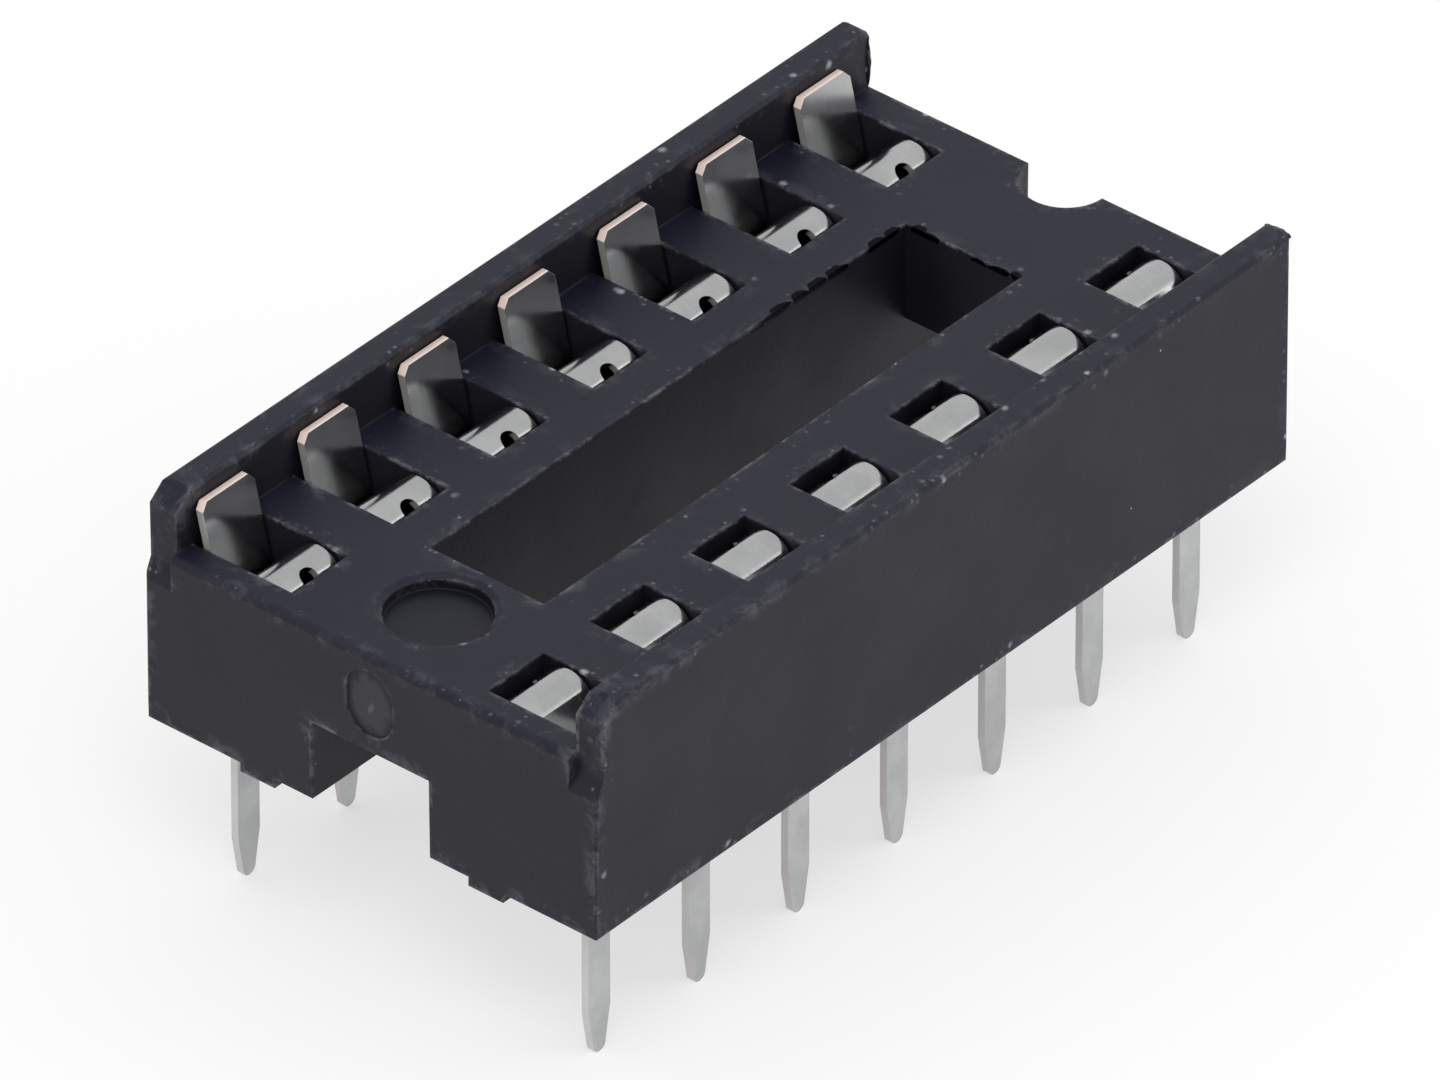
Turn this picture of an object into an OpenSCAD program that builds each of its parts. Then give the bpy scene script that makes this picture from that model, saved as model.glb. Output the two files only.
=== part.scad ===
/* [Contact grid] */
// Contacts in each of the two rows
ways = 7; // [2:1:14]
// Distance between neighbouring contacts of a row
pitch = 2.54; // [2.3:0.01:3]
// Distance between the tails of the two rows
row_gap = 7.62; // [7:0.01:15.24]

/* [Housing] */
// Plastic beyond the last contact's centre line at the plain end
plain_over = 1.26; // [1.1:0.01:2]
// Plastic beyond the last contact's centre line at the notched end
notch_over = 1.38; // [1.1:0.01:2]
// Distance from a row's tails to the inner face of its side wall
wall_gap = 0.49; // [0.4:0.01:0.6]
// Height of the moulded body, without its feet
body_h = 4.57; // [4.2:0.01:6]
// How far the deck lies below the top of the side walls
deck_drop = 1.09; // [0.6:0.01:1.5]
// Thickness of the side walls above the deck
wall_t = 0.6; // [0.5:0.01:0.8]
// Draft of each outer face over the body's height
draft = 0.05; // [0:0.01:0.12]
// Radius of the four vertical outer corners
corner_r = 0.16; // [0.05:0.01:0.3]
// Bevel along the top edges of the side walls
wall_bevel = 0.06; // [0.02:0.01:0.12]

/* [Wall ends] */
// How far the side walls step back from the plain end
end_step = 0.2; // [0.05:0.01:0.3]
// How far below the deck the step's ledge begins
ledge_drop = 0.3; // [0.1:0.01:0.6]
// Height of the sloping ledge under the step
ledge_h = 0.45; // [0.2:0.01:0.8]
// Length of the sloping cut on top of each wall's plain end
ramp_l = 0.6; // [0.35:0.01:0.9]
// Height of that cut
ramp_h = 0.33; // [0.1:0.01:0.5]
// Radius of the deck's rounded edge at the plain end
deck_round = 0.18; // [0.05:0.01:0.3]

/* [Window and channel] */
// Width of the window between the two rows
window_w = 2.46; // [2:0.01:2.9]
// Length of the deck bridge at the plain end
plain_bridge = 3; // [2.6:0.01:4]
// Length of the deck bridge at the notched end
notch_bridge = 2.7; // [2:0.01:3.5]
// Width of the channel that runs under both bridges
channel_w = 2.54; // [2:0.01:3]
// Height of that channel
channel_h = 1.56; // [0.6:0.01:1.9]

/* [Deck marks] */
// Radius of the half-round key notch in the end of the deck
key_r = 0.8; // [0.4:0.01:1.1]
// Radius of the shallow round recess on the plain bridge
recess_r = 0.93; // [0.4:0.01:1.1]
// Depth of the recess
recess_d = 0.25; // [0.1:0.01:0.5]
// Width of the bevel round the recess
recess_rim = 0.14; // [0.05:0.01:0.2]
// Distance from the plain end to the recess's centre
recess_in = 1.77; // [1.4:0.01:2]
// Width of the gate mark on the plain end face
gate_w = 1; // [0.5:0.01:1.4]
// Height of the gate mark
gate_h = 1.3; // [1.1:0.01:1.5]
// Depth of the gate mark
gate_d = 0.06; // [0.02:0.01:0.12]
// How far the gate mark's centre lies below the deck
gate_drop = 0.96; // [0.8:0.01:1.1]

/* [Feet] */
// Height of the standoff feet
foot_h = 0.18; // [0.1:0.01:0.6]
// Width of each foot across the rows
foot_w = 0.75; // [0.4:0.01:1]
// Length of each foot along the rows
foot_l = 0.8; // [0.4:0.01:1.5]
// Distance from the channel to a foot
foot_side = 0.83; // [0.3:0.01:1]

/* [Contact cavities] */
// Size of each cavity along the row
cavity_w = 1.38; // [1.25:0.01:1.6]
// Distance from a row's tails to the inner side of its cavities
cavity_reach = 1.69; // [1.6:0.01:2]
// Thickness of the floor under each cavity
cavity_floor = 0.97; // [0.6:0.01:1.3]
// Clearance between a tail and its slot, on each side
slot_gap = 0.03; // [0.02:0.01:0.08]

/* [Contact strip] */
// Thickness of the stamped strip
strip_t = 0.15; // [0.12:0.01:0.18]
// Clearance between a leaf's side edge and the cavity
side_gap = 0.04; // [0.02:0.01:0.1]
// Inside radius of the two bends at the foot of the contact
root_r = 0.2; // [0.1:0.01:0.24]
// Gap between the two leaves where they pinch a lead
pinch_gap = 0.11; // [0.05:0.01:0.2]
// How far the pinch lies below the deck
pinch_drop = 0.92; // [0.7:0.01:1.1]

/* [Outer leaf] */
// How far the leaf's top edge lies below the wall's top
leaf_drop = 0.27; // [0.1:0.01:0.5]
// Clearance between the leaf's top and the wall it leans on
leaf_gap = 0.01; // [0.01:0.01:0.06]
// Inside radius of the leaf's bend at the pinch
leaf_knee_r = 0.3; // [0.15:0.01:0.4]
// Angle of the leaf below the pinch, from upright
leaf_foot_lean = 10; // [2:1:12]
// Size of the cuts across the leaf's top corners
leaf_corner = 0.14; // [0.05:0.01:0.3]

/* [Curled leaf] */
// How far the curl's crest stands above the deck
curl_rise = -0.03; // [-0.1:0.01:0.1]
// Inside radius of the curl
curl_r = 0.39; // [0.25:0.01:0.42]
// Inside radius of the bend at the pinch
curl_knee_r = 0.25; // [0.15:0.01:0.3]
// Angle between the pinch and the curl, from upright
curl_slope = 43; // [38:1:46]
// Angle of the leaf below the pinch, from upright
curl_foot_lean = 20; // [10:1:22]
// Angle of the curl's free end past its crest
curl_over = 62; // [50:1:70]
// Width of the notch in the free end
fork_w = 0.36; // [0.2:0.01:0.5]
// Length of the notch along the curl
fork_l = 0.35; // [0.25:0.01:0.45]
// Radius of the prongs' corners
prong_r = 0.15; // [0.05:0.01:0.2]

/* [Solder tail] */
// Reach of the tails below the seating plane
tail_l = 3.2; // [2.2:0.05:4]
// Width of the tail
tail_w = 0.54; // [0.4:0.01:0.6]
// Length of the tail's taper
taper_l = 0.85; // [0.4:0.01:1.2]
// Radius of the tail's tip
tip_r = 0.15; // [0.08:0.01:0.19]
// Inside radius of the bend at the tail's root
tail_bend_r = 0.1; // [0.06:0.01:0.14]
// Height of the opening that the tail leaves in the outer leaf
lance_h = 1; // [0.5:0.01:1.1]

/* [Hidden] */
$fn = 48;
cut = 0.01; // how far a cutting shape passes a face it cuts through
lap = 0.05; // angle by which a bend runs on into its neighbours, so that they join
half_turn = 180;
quarter_turn = 90;

function row_name(i) = str("contact_", i < 9 ? "0" : "", i + 1);

// The tips of the tails stand on z = 0, and the plain end of the housing faces -X
seat_z = tail_l;
body_z = seat_z + foot_h;
top_z = body_z + body_h;
deck_z = top_z - deck_drop;
floor_z = body_z + cavity_floor;
bridge_z = body_z + channel_h;
body_l = (ways - 1) * pitch + plain_over + notch_over;
end_x = body_l / 2;
first_x = plain_over - end_x;
row_y = row_gap / 2;
wall_y = row_y + wall_gap;
side_y = wall_y + wall_t;
body_w = 2 * side_y;
cavity_in = row_y - cavity_reach;
foot_in = channel_w / 2 + foot_side;

// Centre line of the contact strip
half_t = strip_t / 2;
strip_z = floor_z + half_t;
pinch_z = deck_z - pinch_drop;
root_mid = root_r + half_t;
leaf_w = cavity_w - 2 * side_gap;
leaf_top = top_z - leaf_drop;
leaf_mid = leaf_knee_r + half_t;
leaf_pinch_y = row_y;
leaf_top_y = wall_y - leaf_gap - half_t;
leaf_lean = atan2(leaf_top_y - leaf_pinch_y, leaf_top - pinch_z);
leaf_run = (leaf_top - pinch_z - leaf_mid * sin(leaf_lean)) / cos(leaf_lean);
curl_mid = curl_r + half_t;
curl_knee_mid = curl_knee_r + half_t;
curl_pinch_y = leaf_pinch_y - strip_t - pinch_gap;
curl_axis_z = deck_z + curl_rise - half_t - curl_mid;
curl_run = (curl_axis_z + (curl_mid - curl_knee_mid) * sin(curl_slope) - pinch_z) / cos(curl_slope);
curl_axis_y = curl_pinch_y - curl_knee_mid * (1 - cos(curl_slope))
            - curl_run * sin(curl_slope) - curl_mid * cos(curl_slope);
fork_turn = fork_l / curl_mid * half_turn / PI;
prong_w = (leaf_w - fork_w) / 2;

// Straight run from the pinch down to the root bend, for a leg that leans by an angle
function leg_run(lean, knee) = (pinch_z - strip_z - root_mid - (knee + root_mid) * sin(lean)) / cos(lean);
// Distance from the pinch to the centre of the root bend, across the rows
function root_shift(lean, knee) = knee * (1 - cos(lean)) + leg_run(lean, knee) * sin(lean) - root_mid * cos(lean);
leaf_root_y = leaf_pinch_y + root_shift(leaf_foot_lean, leaf_mid);
curl_root_y = curl_pinch_y - root_shift(curl_foot_lean, curl_knee_mid);
tail_bend_y = row_y - tail_bend_r - half_t;

// ---------- folded strip, drawn from the side ----------

// Sector of a bent strip: starts at the origin heading along +X and turns left
module bend(turn, inside) {
    outside = inside + strip_t;
    far = 2 * outside;
    translate([0, inside + half_t]) intersection() {
        difference() {
            circle(r = outside);
            circle(r = inside);
        }
        polygon(concat([[0, 0]], [for (a = [-lap, turn / 2, turn + lap]) [far * sin(a), -far * cos(a)]]));
    }
}

// Strip that runs and bends through a list of [run, turn, inside radius]; left turns are positive
module strip(steps, i = 0) {
    if (i < len(steps)) {
        run = steps[i][0];
        turn = steps[i][1];
        inside = steps[i][2];
        side = turn < 0 ? -1 : 1;
        mid = inside + half_t;
        if (run > 0) translate([0, -half_t]) square([run, strip_t]);
        translate([run, 0]) {
            if (turn != 0) mirror([0, side < 0 ? 1 : 0]) bend(abs(turn), inside);
            translate([mid * sin(abs(turn)), side * mid * (1 - cos(turn))]) rotate(turn) strip(steps, i + 1);
        }
    }
}

// Side view drawn in the Y-Z plane, spread to a width along X
module across(width) {
    rotate([quarter_turn, 0, quarter_turn]) translate([0, 0, -width / 2]) linear_extrude(width) children();
}

// Strip from a point and a heading
module strip_from(y, z, heading, steps) {
    translate([y, z]) rotate(heading) strip(steps);
}

// ---------- contact ----------

// Side view of both leaves, folded up from the two ends of a flat root
module leaf_profile() {
    strip_from(leaf_root_y, strip_z, 0, [
        [0, quarter_turn + leaf_foot_lean, root_r],
        [leg_run(leaf_foot_lean, leaf_mid), -leaf_foot_lean - leaf_lean, leaf_knee_r],
        [leaf_run, 0, 0]
    ]);
    strip_from(leaf_root_y, strip_z, half_turn, [
        [leaf_root_y - curl_root_y, -quarter_turn - curl_foot_lean, root_r],
        [leg_run(curl_foot_lean, curl_knee_mid), curl_foot_lean + curl_slope, curl_knee_r],
        [curl_run, quarter_turn - curl_slope + curl_over, curl_r]
    ]);
}

// Front view of the leaves, with the cut corners of the tall one
module leaf_outline() {
    half_w = leaf_w / 2;
    polygon([
        [-half_w, floor_z - cut], [half_w, floor_z - cut], [half_w, leaf_top - leaf_corner],
        [half_w - leaf_corner, leaf_top + cut], [leaf_corner - half_w, leaf_top + cut],
        [-half_w, leaf_top - leaf_corner]
    ]);
}

// Shape cut off the curl laid flat, which leaves two round prongs with a round notch between them
module fork_outline(length) {
    straight_w = prong_w - 2 * prong_r;
    difference() {
        translate([-leaf_w, length - prong_r]) square([2 * leaf_w, leaf_w]);
        for (side = [-1, 1]) translate([side * (fork_w + prong_w) / 2, length - prong_r]) {
            for (corner = [-1, 1]) translate([corner * straight_w / 2, 0]) circle(r = prong_r);
            translate([-straight_w / 2, -prong_r]) square([straight_w, 2 * prong_r]);
        }
    }
    translate([0, length - fork_l + fork_w / 2]) {
        circle(r = fork_w / 2);
        translate([-fork_w / 2, 0]) square([fork_w, leaf_w]);
    }
}

// Fork of the curl's free end, cut square to the strip at the middle of the notch
module fork_cut() {
    tip_angle = curl_over - fork_turn / 2;
    translate([0, curl_axis_y, curl_axis_z]) rotate([tip_angle, 0, 0]) rotate([0, 0, half_turn])
        linear_extrude(curl_r + 2 * strip_t) fork_outline(curl_mid * sin(curl_over - tip_angle));
}

// Opening that the tail leaves in the floor and in the foot of the outer leaf
module tail_opening() {
    translate([-tail_w / 2 - slot_gap, tail_bend_y, floor_z - cut])
        cube([tail_w + 2 * slot_gap, row_gap, lance_h + cut]);
}

// Tail seen from the front, tapering to a round tip
module tail_outline() {
    translate([0, tip_r]) circle(r = tip_r);
    polygon([
        [-tip_r, tip_r], [tip_r, tip_r], [tail_w / 2, taper_l], [tail_w / 2, floor_z + strip_t],
        [-tail_w / 2, floor_z + strip_t], [-tail_w / 2, taper_l]
    ]);
}

// Solder tail, bent down out of the floor
module tail() {
    intersection() {
        across(tail_w) strip_from(tail_bend_y, strip_z, 0, [
            [0, -quarter_turn, tail_bend_r],
            [strip_z, 0, 0]
        ]);
        translate([0, side_y, 0]) rotate([quarter_turn, 0, 0]) linear_extrude(side_y) tail_outline();
    }
}

// One stamped contact of the row on the +Y side
module stamped_contact() {
    difference() {
        intersection() {
            across(leaf_w) leaf_profile();
            translate([0, side_y, 0]) rotate([quarter_turn, 0, 0]) linear_extrude(side_y) leaf_outline();
        }
        fork_cut();
        tail_opening();
    }
    tail();
}

// Contacts are numbered round the part: along the -Y row towards +X, then back along the +Y row
module contact(i) {
    near = i < ways;
    place = near ? i : 2 * ways - 1 - i;
    color("silver") translate([first_x + place * pitch, 0, 0]) mirror([0, near ? 1 : 0, 0]) stamped_contact();
}

// ---------- housing ----------

// Section across the rows: two walls, the deck and the channel below it
module cross_section() {
    polygon([
        [-side_y + draft, body_z], [-side_y, top_z - wall_bevel], [-side_y + wall_bevel, top_z],
        [-wall_y - wall_bevel, top_z], [-wall_y, top_z - wall_bevel], [-wall_y, deck_z],
        [wall_y, deck_z], [wall_y, top_z - wall_bevel], [wall_y + wall_bevel, top_z],
        [side_y - wall_bevel, top_z], [side_y, top_z - wall_bevel], [side_y - draft, body_z],
        [channel_w / 2, body_z], [channel_w / 2, bridge_z], [-channel_w / 2, bridge_z], [-channel_w / 2, body_z]
    ]);
}

// Section along the rows, with drafted ends
module long_section() {
    polygon([[-end_x + draft, body_z], [end_x - draft, body_z], [end_x, top_z + cut], [-end_x, top_z + cut]]);
}

// Plan of the body, with round corners
module plan() {
    for (x = [-1, 1], y = [-1, 1]) translate([x * (end_x - corner_r), y * (side_y - corner_r)]) circle(r = corner_r);
    translate([-end_x, corner_r - side_y]) square([body_l, body_w - 2 * corner_r]);
    translate([corner_r - end_x, -side_y]) square([body_l - 2 * corner_r, body_w]);
}

module body_block() {
    intersection() {
        across(body_l + 2 * cut) cross_section();
        translate([0, side_y + cut, 0]) rotate([quarter_turn, 0, 0]) linear_extrude(body_w + 2 * cut) long_section();
        translate([0, 0, body_z - cut]) linear_extrude(body_h + 2 * cut) plan();
    }
}

// Cuts that step the walls back at the plain end, above a sloping ledge, and ramp their tops
module wall_end_cuts() {
    ledge_z = deck_z - ledge_drop;
    for (y = [-wall_y, side_y + cut]) translate([-end_x, y, 0]) rotate([quarter_turn, 0, 0])
        linear_extrude(wall_t + cut) polygon([
            [-cut, ledge_z - ledge_h], [end_step, ledge_z], [end_step, top_z - ramp_h],
            [ramp_l, top_z], [ramp_l, top_z + cut], [-cut, top_z + cut]
        ]);
}

// Rounds the deck's edge at the plain end
module deck_edge_cut() {
    translate([-end_x, 0, deck_z]) rotate([quarter_turn, 0, 0]) linear_extrude(2 * wall_y, center = true)
        difference() {
            translate([-cut, -deck_round]) square([deck_round + cut, deck_round + cut]);
            translate([deck_round, -deck_round]) circle(r = deck_round);
        }
}

// Window between the two rows, left open between the bridges
module window_cut() {
    translate([plain_bridge - end_x, -window_w / 2, body_z - cut])
        cube([body_l - plain_bridge - notch_bridge, window_w, body_h]);
}

// Round recess with a bevelled rim, on the plain bridge
module recess_cut() {
    translate([recess_in - end_x, 0, deck_z]) {
        translate([0, 0, -recess_d]) cylinder(r = recess_r, h = recess_d + cut);
        translate([0, 0, -recess_rim / 2]) cylinder(r1 = recess_r, r2 = recess_r + recess_rim, h = recess_rim / 2 + cut);
    }
}

// Oval mark of the moulding gate, in the plain end face
module gate_cut() {
    oval_r = gate_w / 2;
    offset_z = gate_h / 2 - oval_r;
    translate([-end_x - cut, 0, deck_z - gate_drop]) rotate([quarter_turn, 0, quarter_turn])
        linear_extrude(gate_d + cut) {
            for (z = [-1, 1]) translate([0, z * offset_z]) circle(r = oval_r);
            square([gate_w, 2 * offset_z], center = true);
        }
}

// Pocket for one contact of the +Y row, with the slot for its tail
module cavity_cut() {
    slot_w = tail_w + 2 * slot_gap;
    slot_t = strip_t + 2 * slot_gap;
    mouth_y = tail_bend_y - slot_gap;
    translate([-cavity_w / 2, cavity_in, floor_z]) cube([cavity_w, wall_y - cavity_in, deck_z - floor_z + cut]);
    translate([-slot_w / 2, row_y - slot_t / 2, body_z - cut]) cube([slot_w, slot_t, cavity_floor + 2 * cut]);
    translate([-slot_w / 2, mouth_y, floor_z - tail_bend_r - half_t])
        cube([slot_w, row_y + slot_t / 2 - mouth_y, tail_bend_r + half_t + cut]);
}

// Standoff feet near the four corners
module feet() {
    for (x = [-1, 1], y = [-1, 1])
        translate([x * (end_x - draft - foot_l / 2), y * (foot_in + foot_w / 2), seat_z + foot_h / 2 + cut / 2])
            cube([foot_l, foot_w, foot_h + cut], center = true);
}

module housing() {
    color("#34363d") difference() {
        union() {
            body_block();
            feet();
        }
        wall_end_cuts();
        deck_edge_cut();
        window_cut();
        recess_cut();
        gate_cut();
        translate([end_x, 0, body_z - cut]) cylinder(r = key_r, h = body_h);
        for (i = [0 : ways - 1], side = [0, 1])
            translate([first_x + i * pitch, 0, 0]) mirror([0, side, 0]) cavity_cut();
    }
}

housing();
for (i = [0 : 2 * ways - 1]) contact(i);
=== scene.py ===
import math

import bpy
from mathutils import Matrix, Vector
from mathutils.noise import noise as hash_noise


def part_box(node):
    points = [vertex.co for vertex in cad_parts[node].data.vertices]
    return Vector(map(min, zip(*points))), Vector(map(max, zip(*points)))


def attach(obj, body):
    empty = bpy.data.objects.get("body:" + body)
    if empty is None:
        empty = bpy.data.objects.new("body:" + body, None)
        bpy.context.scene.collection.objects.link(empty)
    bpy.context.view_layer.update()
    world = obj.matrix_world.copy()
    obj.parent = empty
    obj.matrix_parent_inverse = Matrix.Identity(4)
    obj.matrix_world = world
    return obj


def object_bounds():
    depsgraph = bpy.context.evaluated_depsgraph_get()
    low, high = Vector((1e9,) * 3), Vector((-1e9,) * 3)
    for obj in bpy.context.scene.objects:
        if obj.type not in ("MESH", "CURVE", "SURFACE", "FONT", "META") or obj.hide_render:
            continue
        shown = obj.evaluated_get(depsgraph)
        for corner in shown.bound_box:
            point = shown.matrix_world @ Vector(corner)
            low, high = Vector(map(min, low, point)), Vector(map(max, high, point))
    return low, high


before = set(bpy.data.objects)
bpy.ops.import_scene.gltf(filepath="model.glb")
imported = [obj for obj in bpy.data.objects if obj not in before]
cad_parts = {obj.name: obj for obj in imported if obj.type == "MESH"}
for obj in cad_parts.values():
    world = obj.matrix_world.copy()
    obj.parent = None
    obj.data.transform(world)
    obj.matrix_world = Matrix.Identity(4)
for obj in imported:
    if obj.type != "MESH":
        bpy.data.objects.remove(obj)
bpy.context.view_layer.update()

MM = 0.001
scene = bpy.context.scene

# Places that the materials and the flash need. The housing's are measured from its box.
housing_low, housing_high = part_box("housing")
LEAF_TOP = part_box("contact_01")[1].z
DECK_Z = housing_high.z - 1.09 * MM
JUST_BELOW_DECK = DECK_Z - 0.1 * MM
GATE_Z = housing_high.z - 2.05 * MM
RECESS = (housing_low.x + 1.77 * MM, 0.0)
RECESS_RADIUS = 0.93 * MM
RECESS_RIM_RADIUS = 1.15 * MM
WINDOW_END = housing_high.x - 2.7 * MM
WINDOW_SIDE = 1.23 * MM
WALL_THICKNESS = 0.6 * MM
KEY_SIDE = 0.86 * MM

# Linear colours.
SIDE_DARK, SIDE_LIGHT = (0.0066, 0.0064, 0.0105, 1), (0.0098, 0.0093, 0.0135, 1)
# The top colours are bluer copies of the side colours: a painted sheen on faces that look up.
TOP_SHEEN_DARK, TOP_SHEEN_LIGHT = (0.0062, 0.0066, 0.0150, 1), (0.0092, 0.0098, 0.0190, 1)
# Painted shade for the round recess's floor.
RECESS_PAINTED_SHADE = (0.002, 0.0022, 0.005, 1)
# Painted shade for the window's ragged rim.
RIM_PAINTED_SHADE = (0.0008, 0.0008, 0.001, 1)
SMEARED = (0.085, 0.087, 0.102, 1)
RUBBED = (0.2, 0.2, 0.22, 1)
FINE_SPECK = (0.25, 0.255, 0.27, 1)
DUST = (0.45, 0.46, 0.49, 1)
GATE_MARK = (0.04, 0.038, 0.039, 1)
GATE_SPOT = (0.09, 0.087, 0.088, 1)
TIN_DARK, TIN_LIGHT = (0.44, 0.445, 0.45, 1), (0.54, 0.545, 0.545, 1)
TIN_ROLLED = (0.34, 0.345, 0.355, 1)
# The cut-edge colours are bare copper made pale as a painted highlight.
CUT_SIDE_AND_GLINT = (0.66, 0.62, 0.59, 1)
CUT_TOP_AND_GLINT = (0.95, 0.76, 0.68, 1)
FLOOR_DARK, FLOOR_LIGHT = (0.92, 0.92, 0.92, 1), (0.95, 0.95, 0.95, 1)
# The black darkens the contacts higher up as painted shade.
SHADE_BLACK, WHITE = (0, 0, 0, 1), (1, 1, 1, 1)


# ---------- nodes ----------

class Graph:
    """Adds nodes to one tree. A value is a number, a colour or another node's socket."""

    def __init__(self, tree):
        self.tree = tree

    def feed(self, socket, value):
        """Link an input to another node's socket, or set it to a number or a colour."""
        if isinstance(value, bpy.types.NodeSocket):
            self.tree.links.new(value, socket)
        else:
            socket.default_value = value

    def add(self, kind, inputs=None, **settings):
        """A node of one kind. Its inputs go by name or, where names repeat, by place."""
        node = self.tree.nodes.new(kind)
        for key, value in settings.items():
            setattr(node, key, value)
        for key, value in (inputs or {}).items():
            self.feed(node.inputs[key], value)
        return node

    def math(self, operation, a, b=0.0, clamp=False):
        node = self.add("ShaderNodeMath", {0: a, 1: b}, operation=operation, use_clamp=clamp)
        return node.outputs[0]

    def plus(self, a, b):
        return self.math("ADD", a, b)

    def minus(self, a, b, clamp=False):
        return self.math("SUBTRACT", a, b, clamp)

    def times(self, *values):
        """The product of all the values."""
        product = values[0]
        for value in values[1:]:
            product = self.math("MULTIPLY", product, value)
        return product

    def above(self, value, limit):
        return self.math("GREATER_THAN", value, limit)

    def below(self, value, limit):
        return self.math("LESS_THAN", value, limit)

    def ramp(self, factor, low, high, from_value=0.0, to_value=1.0):
        """A factor stretched smoothly from one range to another."""
        return self.add("ShaderNodeMapRange", {
            "Value": factor, "From Min": low, "From Max": high,
            "To Min": from_value, "To Max": to_value
        }, interpolation_type="SMOOTHSTEP").outputs["Result"]

    def mix(self, factor, a, b):
        """A colour mix. Its colour sockets share their names with the number sockets."""
        return self.add("ShaderNodeMix", {0: factor, 6: a, 7: b}, data_type="RGBA").outputs[2]

    def noise(self, where, scale, detail, roughness, distortion=0.0):
        """Soft noise with a scale in lumps to the metre."""
        return self.add("ShaderNodeTexNoise", {
            "Vector": where, "Scale": scale, "Detail": detail,
            "Roughness": roughness, "Distortion": distortion
        }).outputs["Fac"]

    def vector(self, operation, a, b):
        return self.add("ShaderNodeVectorMath", {0: a, 1: b}, operation=operation).outputs[0]

    def coordinates(self):
        """A point's place, the three parts of its place and those of its normal."""
        coords = self.add("ShaderNodeTexCoord").outputs
        where = coords["Object"]
        place = self.add("ShaderNodeSeparateXYZ", {0: where}).outputs
        facing = self.add("ShaderNodeSeparateXYZ", {0: coords["Normal"]}).outputs
        return where, place, facing

    def seen(self):
        """One for rays that show a surface as such, and zero for those that only light others."""
        path = self.add("ShaderNodeLightPath").outputs
        mirrored = self.math("MAXIMUM", path["Is Glossy Ray"], path["Is Transmission Ray"])
        return self.math("MAXIMUM", path["Is Camera Ray"], mirrored)

    def convex(self, reach):
        """How near a point is to an outward edge of its own piece, from 0 on a flat face."""
        inside = self.add("ShaderNodeAmbientOcclusion", {"Distance": reach},
                          inside=True, only_local=True, samples=3)
        return self.minus(1.0, inside.outputs["AO"], clamp=True)

    def specks(self, where, scale, chance, size):
        """Small specks, one to a random cell. Chance raises how many there are and how large."""
        cells = self.add("ShaderNodeTexVoronoi", {"Vector": where, "Scale": scale}).outputs
        pick = self.add("ShaderNodeSeparateColor", {"Color": cells["Color"]}).outputs[0]
        radius = self.ramp(self.plus(pick, chance), 0.85, 1.35, 0.0, size)
        near = self.math("DIVIDE", cells["Distance"], self.plus(radius, 0.0001))
        return self.ramp(near, 1.1, 0.2)

    def oval(self, across, along, centre, radius, soft):
        """One inside an oval, from two coordinates, its centre, its two radii and its soft rim."""
        a = self.math("DIVIDE", self.minus(across, centre[0]), radius[0])
        b = self.math("DIVIDE", self.minus(along, centre[1]), radius[1])
        far = self.math("SQRT", self.plus(self.times(a, a), self.times(b, b)))
        return self.ramp(far, 1.0, 1.0 - soft)

    def normal(self, relief, strength, depth, edge_radius):
        """The normal with outward edges rounded and a relief on top of them."""
        rounded = self.add("ShaderNodeBevel", {"Radius": edge_radius}, samples=4)
        return self.add("ShaderNodeBump", {
            "Strength": strength, "Distance": depth, "Height": relief,
            "Normal": rounded.outputs["Normal"]
        }).outputs["Normal"]


def new_material(name):
    """A material with only a Principled shader and its output, and the graph to add to."""
    material = bpy.data.materials.new(name)
    material.use_nodes = True
    tree = material.node_tree
    return material, Graph(tree), tree.nodes["Principled BSDF"]


# ---------- materials ----------

def painted_rim_shade(nodes, where, x, y, z):
    """Where the window's ragged rim is painted black as shade: on the deck by the notched end,
    at its end and its long +Y edge.
    """
    outside = nodes.math("MAXIMUM", nodes.minus(x, WINDOW_END), nodes.minus(y, WINDOW_SIDE))
    cells = nodes.add("ShaderNodeTexVoronoi", {"Vector": where, "Scale": 2300.0})
    reach = nodes.ramp(cells.outputs["Distance"], 0.75, 0.25, -0.03 * MM, 0.14 * MM)
    return nodes.times(nodes.ramp(nodes.minus(reach, outside), 0.0, 0.02 * MM),
                       nodes.above(y, -WINDOW_SIDE), nodes.above(z, JUST_BELOW_DECK),
                       nodes.ramp(x, WINDOW_END - 5 * MM, WINDOW_END - 3 * MM))


def open_faces(nodes, x, y, z):
    """Zero on the inner faces below the deck, as in the window and pockets, and one elsewhere."""
    far_x = nodes.math("ABSOLUTE", x)
    far_y = nodes.math("ABSOLUTE", y)
    near_recess = nodes.oval(x, y, RECESS, (RECESS_RIM_RADIUS, RECESS_RIM_RADIUS), 0.02)
    sunk = nodes.times(nodes.below(z, DECK_Z - 0.05 * MM), nodes.minus(1.0, near_recess))
    inner = nodes.times(nodes.below(far_y, housing_high.y - 0.62 * MM),
                        nodes.below(far_x, housing_high.x - 0.25 * MM))
    return nodes.minus(1.0, nodes.times(inner, sunk))


def gate_mark(nodes, x, y, z, wobble):
    """The gate's oval on the plain end, with a torn outline, and the sheared spot in its middle."""
    sway = nodes.times(nodes.minus(wobble, 0.5), 0.55 * MM)
    y = nodes.plus(y, sway)
    z = nodes.plus(z, sway)
    at_end = nodes.below(x, housing_low.x + 0.12 * MM)
    mark = nodes.oval(y, z, (0.0, GATE_Z), (0.46 * MM, 0.62 * MM), 0.3)
    spot = nodes.oval(y, z, (0.0, GATE_Z - 0.1 * MM), (0.14 * MM, 0.16 * MM), 0.6)
    return nodes.times(mark, at_end), nodes.times(spot, at_end)


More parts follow.
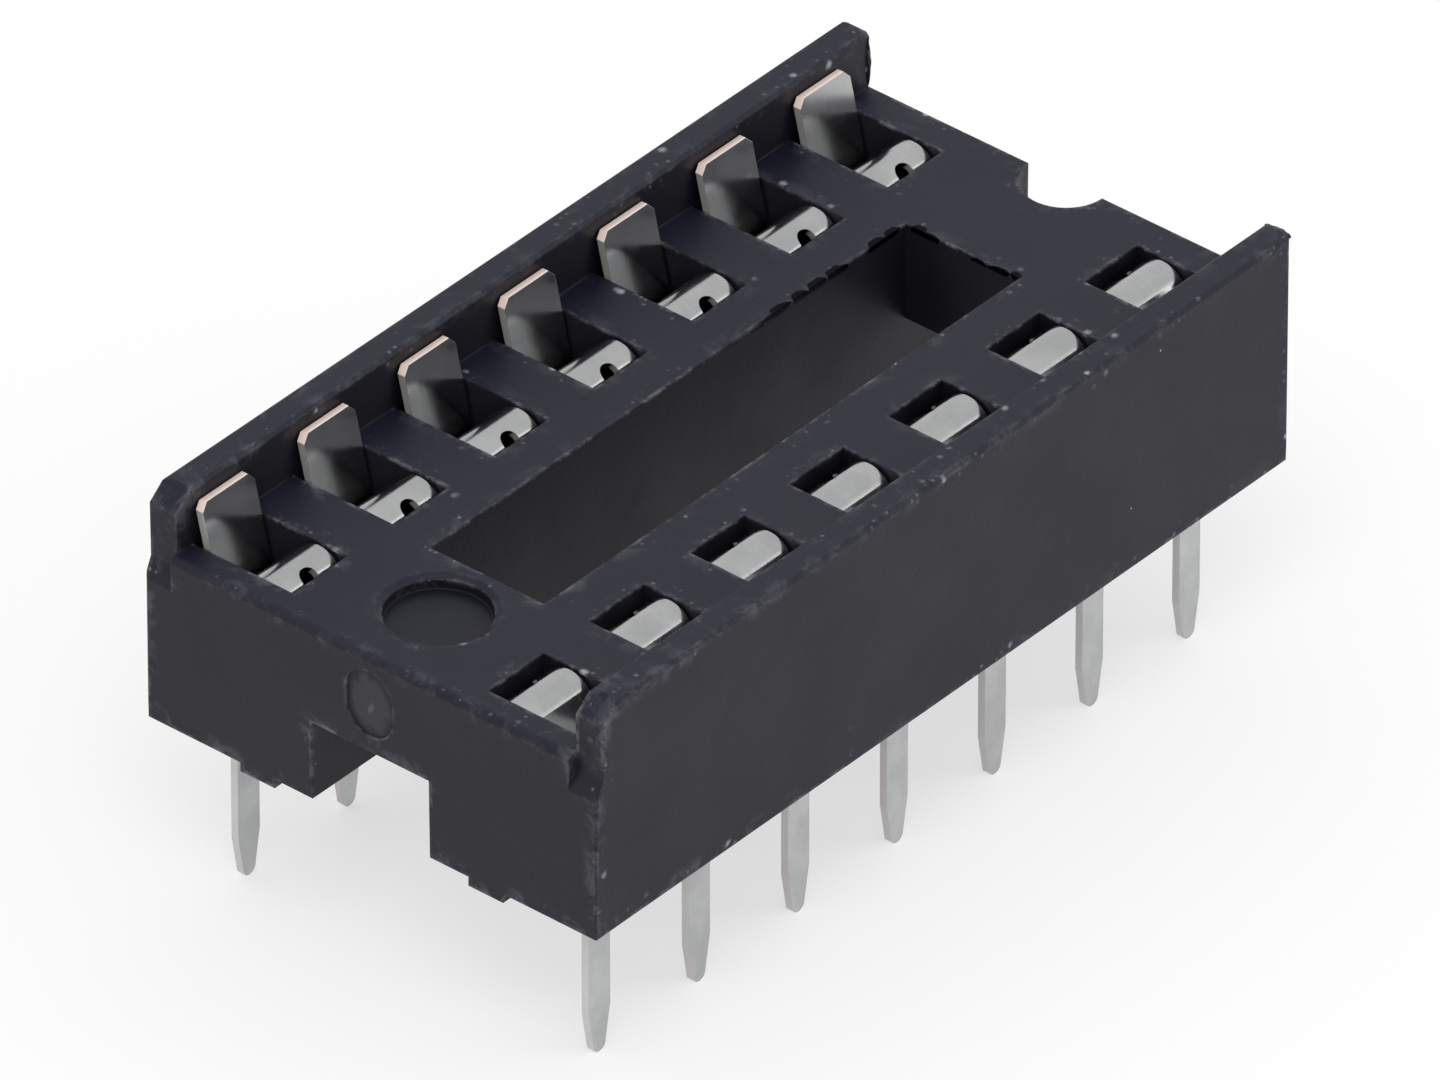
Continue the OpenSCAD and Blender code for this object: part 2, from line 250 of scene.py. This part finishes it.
def housing_plastic():
    """Black moulded plastic: fine grain, faint flow clouds, rubbed edges, pale dust and a dull gate
    mark, with a painted bluer sheen on faces that look up, painted shade on the round recess's
    floor and the window's ragged rim painted black as shade."""
    material, nodes, shader = new_material("housing_plastic")
    where, (x, y, z), facing = nodes.coordinates()
    cloud = nodes.noise(where, 420.0, 4.0, 0.6)
    grain = nodes.noise(where, 12000.0, 3.0, 0.6)
    wobble = nodes.noise(where, 2600.0, 3.0, 0.6)
    flow = nodes.ramp(cloud, 0.35, 0.68)
    # Painted sheen: faces that look up get a bluer copy of the colour.
    base = nodes.mix(nodes.ramp(facing["Z"], 0.5, 0.9),
                     nodes.mix(flow, SIDE_DARK, SIDE_LIGHT), nodes.mix(flow, TOP_SHEEN_DARK, TOP_SHEEN_LIGHT))

    # Painted shade: the round recess's floor is painted darker, as the shade in the hollow.
    recess_shade_mask = nodes.times(nodes.oval(x, y, RECESS, (RECESS_RADIUS, RECESS_RADIUS), 0.04),
                            nodes.below(z, JUST_BELOW_DECK), nodes.above(z, DECK_Z - 0.3 * MM))
    base = nodes.mix(nodes.times(recess_shade_mask, 0.5), base, RECESS_PAINTED_SHADE)

    # Outward edges are rubbed and the faces beside them smeared, more so at the plain end.
    open_air = open_faces(nodes, x, y, z)
    edge = nodes.times(nodes.ramp(nodes.convex(0.09 * MM), 0.12, 0.4), open_air)
    shoulder = nodes.times(nodes.ramp(nodes.convex(0.34 * MM), 0.06, 0.3), open_air)
    rub = nodes.ramp(nodes.noise(where, 1900.0, 5.0, 0.75), 0.47, 0.68)
    smudge = nodes.ramp(nodes.noise(where, 1500.0, 5.0, 0.72, 0.6), 0.5, 0.64)
    worn = nodes.times(edge, rub)
    smear = nodes.times(shoulder, smudge, nodes.ramp(x, -7 * MM, -2 * MM, 1.0, 0.5))
    base = nodes.mix(nodes.times(smear, 0.6), base, SMEARED)
    base = nodes.mix(nodes.times(worn, 0.7), base, RUBBED)

    # Pale specks gather in patches near the edges. The larger ones have a torn outline.
    patch = nodes.ramp(nodes.noise(where, 560.0, 3.0, 0.6), 0.4, 0.58, 0.25, 1.0)
    gather = nodes.times(nodes.plus(nodes.times(shoulder, 0.42), 0.03), patch, open_air)
    tear = nodes.vector("MULTIPLY", nodes.noise(where, 14000.0, 2.0, 0.5), (0.05 * MM,) * 3)
    dust = nodes.specks(nodes.vector("ADD", where, tear), 2900.0, gather, 0.3)
    fine = nodes.specks(where, 6700.0, gather, 0.34)
    base = nodes.mix(nodes.times(fine, open_air, 0.5), base, FINE_SPECK)
    base = nodes.mix(nodes.times(dust, open_air, 0.85), base, DUST)

    # The gate mark and, last of all, the window's rim, painted black as shade:
    # metallic on black, so that it doesn't shine.
    mark, spot = gate_mark(nodes, x, y, z, wobble)
    ragged_rim_shade = painted_rim_shade(nodes, where, x, y, z)
    base = nodes.mix(nodes.times(mark, 0.8), base, GATE_MARK)
    base = nodes.mix(nodes.times(spot, 0.7), base, GATE_SPOT)
    base = nodes.mix(ragged_rim_shade, base, RIM_PAINTED_SHADE)
    nodes.feed(shader.inputs["Base Color"], base)
    nodes.feed(shader.inputs["Metallic"], ragged_rim_shade)

    rough = nodes.plus(nodes.ramp(cloud, 0.3, 0.7, 0.40, 0.52), nodes.times(mark, 0.15))
    relief = nodes.plus(grain, nodes.times(cloud, 3.0))
    relief = nodes.plus(relief, nodes.times(worn, -2.0))
    relief = nodes.plus(relief, nodes.times(mark, wobble, 6.0))
    edge_radius = nodes.times(open_air, 0.05 * MM)
    nodes.feed(shader.inputs["Roughness"], rough)
    nodes.feed(shader.inputs["Normal"], nodes.normal(relief, 0.4, 0.01 * MM, edge_radius))
    shader.inputs["Specular IOR Level"].default_value = 0.27
    shader.inputs["Specular Tint"].default_value = (0.86, 0.86, 1.0, 1)
    return material


def contact_tin():
    """Tin plating over copper alloy: lines along the strip, painted shade higher up, and bare
    copper on the cut edges, made pale and less metallic as a painted highlight.
    """
    material, nodes, shader = new_material("contact_tin")
    where, (_, _, height), facing = nodes.coordinates()
    cloud = nodes.noise(where, 900.0, 4.0, 0.6)
    stretched = nodes.vector("MULTIPLY", where, (16000.0, 1500.0, 1500.0))
    rolled = nodes.noise(stretched, 1.0, 3.0, 0.6)
    base = nodes.mix(nodes.ramp(cloud, 0.35, 0.7), TIN_DARK, TIN_LIGHT)
    base = nodes.mix(nodes.times(rolled, 0.25), base, TIN_ROLLED)
    # Painted shade: the contacts darken towards black from 3.2 mm up to 5 mm and above, inside the
    # dark housing.
    base = nodes.mix(nodes.ramp(height, 3.2 * MM, 5.0 * MM, 0.0, 0.16), base, SHADE_BLACK)

    # The cut edges are the strip's two sides and the top of each tall leaf: bare copper, painted
    # pale and less metallic as a painted highlight.
    side = nodes.ramp(nodes.math("ABSOLUTE", facing["X"]), 0.8, 0.95)
    top = nodes.times(nodes.ramp(facing["Z"], 0.5, 0.7),
                      nodes.above(height, LEAF_TOP - 0.2 * MM))
    base = nodes.mix(nodes.times(side, 0.5), base, CUT_SIDE_AND_GLINT)
    base = nodes.mix(top, base, CUT_TOP_AND_GLINT)
    cut_and_glint = nodes.math("MAXIMUM", nodes.times(side, 0.6), nodes.times(top, 0.85))
    nodes.feed(shader.inputs["Base Color"], base)
    nodes.feed(shader.inputs["Metallic"], nodes.minus(1.0, cut_and_glint, clamp=True))

    rough = nodes.plus(nodes.ramp(cloud, 0.3, 0.7, 0.1, 0.17), nodes.times(rolled, 0.08))
    rough = nodes.plus(rough, nodes.times(cut_and_glint, 0.3))
    relief = nodes.plus(rolled, nodes.times(cloud, 2.0))
    nodes.feed(shader.inputs["Roughness"], rough)
    nodes.feed(shader.inputs["Normal"], nodes.normal(relief, 0.2, 0.004 * MM, 0.02 * MM))
    return material


def floor_paint():
    """Matt floor that is near white, keeps a soft shadow and can be looked through from below."""
    material, nodes, shader = new_material("floor_paint")
    where = nodes.add("ShaderNodeTexCoord").outputs["Object"]
    pale = nodes.mix(nodes.noise(where, 30.0, 3.0, 0.5), FLOOR_DARK, FLOOR_LIGHT)
    nodes.feed(shader.inputs["Base Color"], pale)
    shader.inputs["Roughness"].default_value = 0.9
    shader.inputs["Specular IOR Level"].default_value = 0.0

    glow = nodes.add("ShaderNodeEmission", {"Color": WHITE, "Strength": 1.0}).outputs[0]
    lit = nodes.add("ShaderNodeMixShader", {
        0: nodes.times(nodes.seen(), 0.6), 1: shader.outputs[0], 2: glow
    }).outputs[0]
    from_below = nodes.add("ShaderNodeNewGeometry").outputs["Backfacing"]
    clear = nodes.add("ShaderNodeBsdfTransparent").outputs[0]
    surface = nodes.add("ShaderNodeMixShader", {0: from_below, 1: lit, 2: clear}).outputs[0]
    nodes.feed(nodes.tree.nodes["Material Output"].inputs["Surface"], surface)
    return material


plastic = housing_plastic()
tin = contact_tin()
for name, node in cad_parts.items():
    node.data.materials.clear()
    node.data.materials.append(plastic if name == "housing" else tin)


# ---------- moulding flash ----------

def burr(name, start, end, half, seed):
    """Ragged ridge of the housing's plastic between two points: a closed tube that comes to a
    point at both ends and whose thickness wanders around twice the half thickness."""
    rings, around = 18, 10
    start, end = Vector(start), Vector(end)
    along = end - start
    side = along.orthogonal().normalized()
    up = along.normalized().cross(side)
    verts = [tuple(start)]
    for i in range(1, rings):
        t = i / rings
        for j in range(around):
            angle = 2 * math.pi * j / around
            ray = side * math.cos(angle) + up * math.sin(angle)
            wander = hash_noise(Vector((t * 5.0, seed * 3.1, 0.0)) + ray * 0.5)
            radius = half * math.sqrt(math.sin(math.pi * t)) * (0.75 + 0.6 * wander)
            verts.append(tuple(start + along * t + ray * radius))
    verts.append(tuple(end))

    faces = [(0, 1 + (j + 1) % around, 1 + j) for j in range(around)]
    for i in range(rings - 2):
        a, b = 1 + i * around, 1 + (i + 1) * around
        faces += [(a + j, a + (j + 1) % around, b + (j + 1) % around, b + j)
                  for j in range(around)]
    last, tip = 1 + (rings - 2) * around, len(verts) - 1
    faces += [(last + j, last + (j + 1) % around, tip) for j in range(around)]

    mesh = bpy.data.meshes.new(name)
    mesh.from_pydata(verts, [], faces)
    mesh.materials.append(plastic)
    for face in mesh.polygons:
        face.use_smooth = True
    piece = bpy.data.objects.new(name, mesh)
    scene.collection.objects.link(piece)
    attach(piece, "root")


# The flash is on the notched end: on top of one wall, down the other and beside the key notch.
end_x = housing_high.x - 0.02 * MM
top_z = housing_high.z - 0.03 * MM
wall_y = housing_high.y - WALL_THICKNESS
burr("flash_wall_top", (end_x, housing_low.y + 0.02 * MM, top_z - 0.02 * MM),
     (end_x, housing_low.y + WALL_THICKNESS, top_z), 0.07 * MM, 1)
burr("flash_wall_end", (end_x, wall_y, DECK_Z), (end_x, wall_y, top_z), 0.06 * MM, 2)
burr("flash_key", (end_x, KEY_SIDE, DECK_Z - 0.7 * MM), (end_x, KEY_SIDE, DECK_Z), 0.04 * MM, 3)


# ---------- floor, light and camera ----------

def soft_lamp(name, place, target, size, watts):
    """A square area lamp at a place, turned to a target."""
    data = bpy.data.lights.new(name, "AREA")
    data.shape = "SQUARE"
    data.size = size
    data.energy = watts
    lamp = bpy.data.objects.new(name, data)
    lamp.location = place
    lamp.rotation_euler = (Vector(target) - Vector(place)).to_track_quat("-Z", "Y").to_euler()
    scene.collection.objects.link(lamp)


low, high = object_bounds()
middle = (low + high) / 2
span = (high - low).length

floor_reach = 40 * span
corners = [(x * floor_reach, y * floor_reach, low.z)
           for x, y in ((-1, -1), (1, -1), (1, 1), (-1, 1))]
floor_mesh = bpy.data.meshes.new("floor")
floor_mesh.from_pydata(corners, [], [(0, 1, 2, 3)])
floor_mesh.materials.append(floor_paint())
floor = bpy.data.objects.new("floor", floor_mesh)
scene.collection.objects.link(floor)

# The background is white where it is seen, and a little dimmer as a light.
world = bpy.data.worlds.new("studio")
scene.world = world
world.use_nodes = True
sky = Graph(world.node_tree)
background = world.node_tree.nodes["Background"]
background.inputs["Color"].default_value = WHITE
sky.feed(background.inputs["Strength"], sky.ramp(sky.seen(), 0.0, 1.0, 0.85, 1.0))

lamp_size = 9 * span
soft_lamp("key", middle + Vector((-8, -6, 16)) * span, middle, lamp_size, 0.5)
soft_lamp("fill", middle + Vector((10, -14, 8)) * span, middle, lamp_size, 0.18)

# The camera looks from the photograph's angle.
AZIMUTH = math.radians(-49.79)
ELEVATION = math.radians(35.54)
AIM_MM = Vector((0.36, 0.32, 4.0))
DISTANCE_MM = 492.7
back = Vector((math.sin(AZIMUTH) * math.cos(ELEVATION),
               -math.cos(AZIMUTH) * math.cos(ELEVATION), math.sin(ELEVATION)))
camera_data = bpy.data.cameras.new("camera")
camera_data.sensor_width = 36.0
camera_data.lens = 741.5
camera_data.clip_start = 0.01
camera_data.clip_end = 10.0
camera = bpy.data.objects.new("camera", camera_data)
camera.location = AIM_MM * MM + back * DISTANCE_MM * MM
camera.rotation_mode = "QUATERNION"
camera.rotation_quaternion = (-back).to_track_quat("-Z", "Y")
scene.collection.objects.link(camera)
scene.camera = camera

scene.view_settings.view_transform = "Standard"
